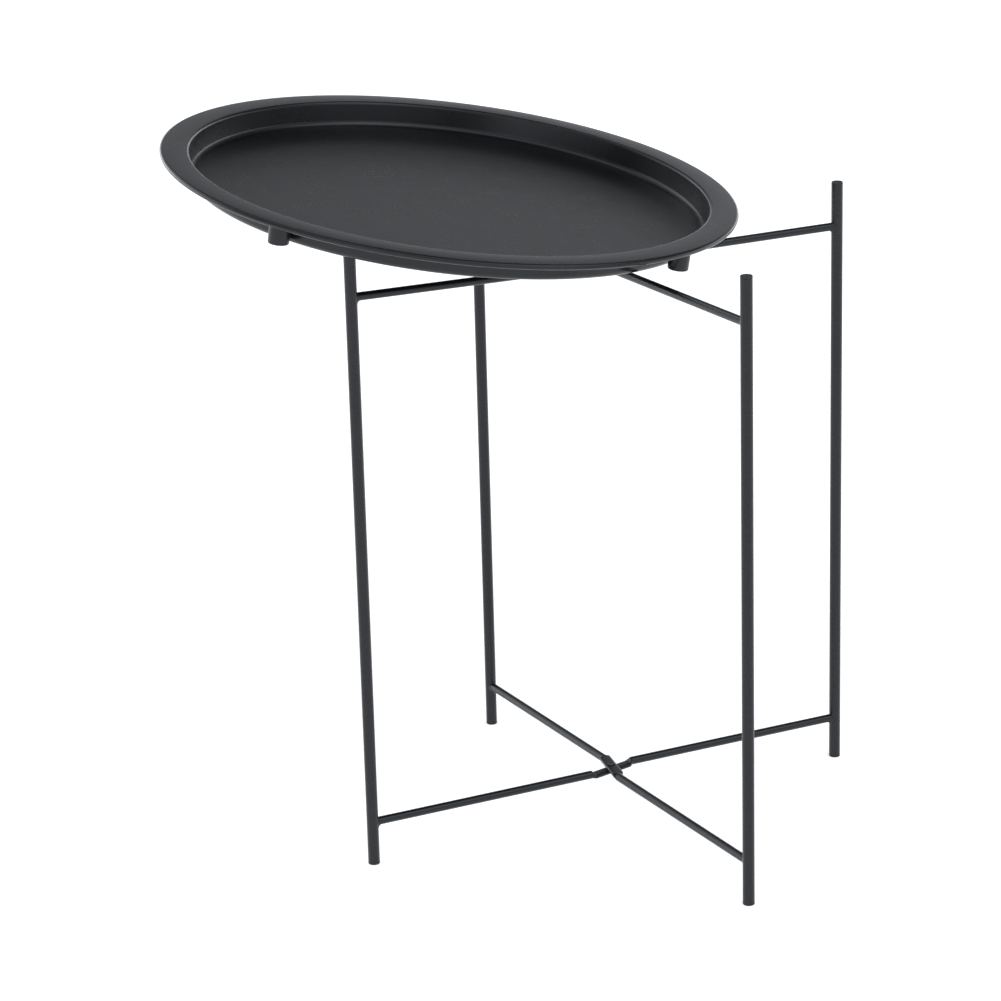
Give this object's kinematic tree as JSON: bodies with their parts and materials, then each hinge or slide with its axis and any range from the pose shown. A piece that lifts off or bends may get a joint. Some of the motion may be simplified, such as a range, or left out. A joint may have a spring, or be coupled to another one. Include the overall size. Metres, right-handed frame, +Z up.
{
  "type": "folding tray table",
  "caption": "Round dished steel tray lying askew on a folding stand of crossed wire frames with slim tubular legs; the tray lifts off and the stand folds flat.",
  "frame": {"origin": "on the floor, under the middle of the whole object's box", "axes": "+Z up; +Y away from the front; the pivot axis of the stand is vertical; the tray's low side is towards +X"},
  "size_m": [0.533, 0.4724, 0.5634],
  "materials": {
    "tray_coat": "satin black powder coat, very fine texture",
    "frame_coat": "satin black powder coat, very fine texture",
    "plug_plastic": "matte black moulded plastic",
    "rivet_steel": "powder coated with the frame, rubbed at the head"
  },
  "bodies": {
    "frame_a": {"leg_front_left": "frame_coat", "foot_plug_front_left": "plug_plastic", "top_plug_front_left": "plug_plastic", "lower_weld_front_left": "frame_coat", "upper_weld_front_left": "frame_coat", "leg_rear_right": "frame_coat", "foot_plug_rear_right": "plug_plastic", "top_plug_rear_right": "plug_plastic", "lower_weld_rear_right": "frame_coat", "upper_weld_rear_right": "frame_coat", "lower_rod_a": "frame_coat", "upper_rod_a": "frame_coat", "lower_rivet": "rivet_steel", "upper_rivet": "rivet_steel"},
    "frame_b": {"leg_rear_left": "frame_coat", "foot_plug_rear_left": "plug_plastic", "top_plug_rear_left": "plug_plastic", "lower_weld_rear_left": "frame_coat", "upper_weld_rear_left": "frame_coat", "leg_front_right": "frame_coat", "foot_plug_front_right": "plug_plastic", "top_plug_front_right": "plug_plastic", "lower_weld_front_right": "frame_coat", "upper_weld_front_right": "frame_coat", "lower_rod_b": "frame_coat", "upper_rod_b": "frame_coat"},
    "tray": {"tray_pan": "tray_coat", "leg_socket_1": "tray_coat", "leg_socket_2": "tray_coat", "leg_socket_3": "tray_coat", "leg_socket_4": "tray_coat"}
  },
  "joints": [
    {"name": "fold", "type": "hinge", "parent": "frame_a", "child": "frame_b", "pos_m": [0.10594, -0.0396, 0.0362], "axis": [0, 0, 1], "range_deg": [0, 87.4]},
    {"name": "tray_lift", "type": "slide", "parent": "frame_a", "child": "tray", "axis": [0, 0, 1], "range_m": [0, 0.2]}
  ]
}
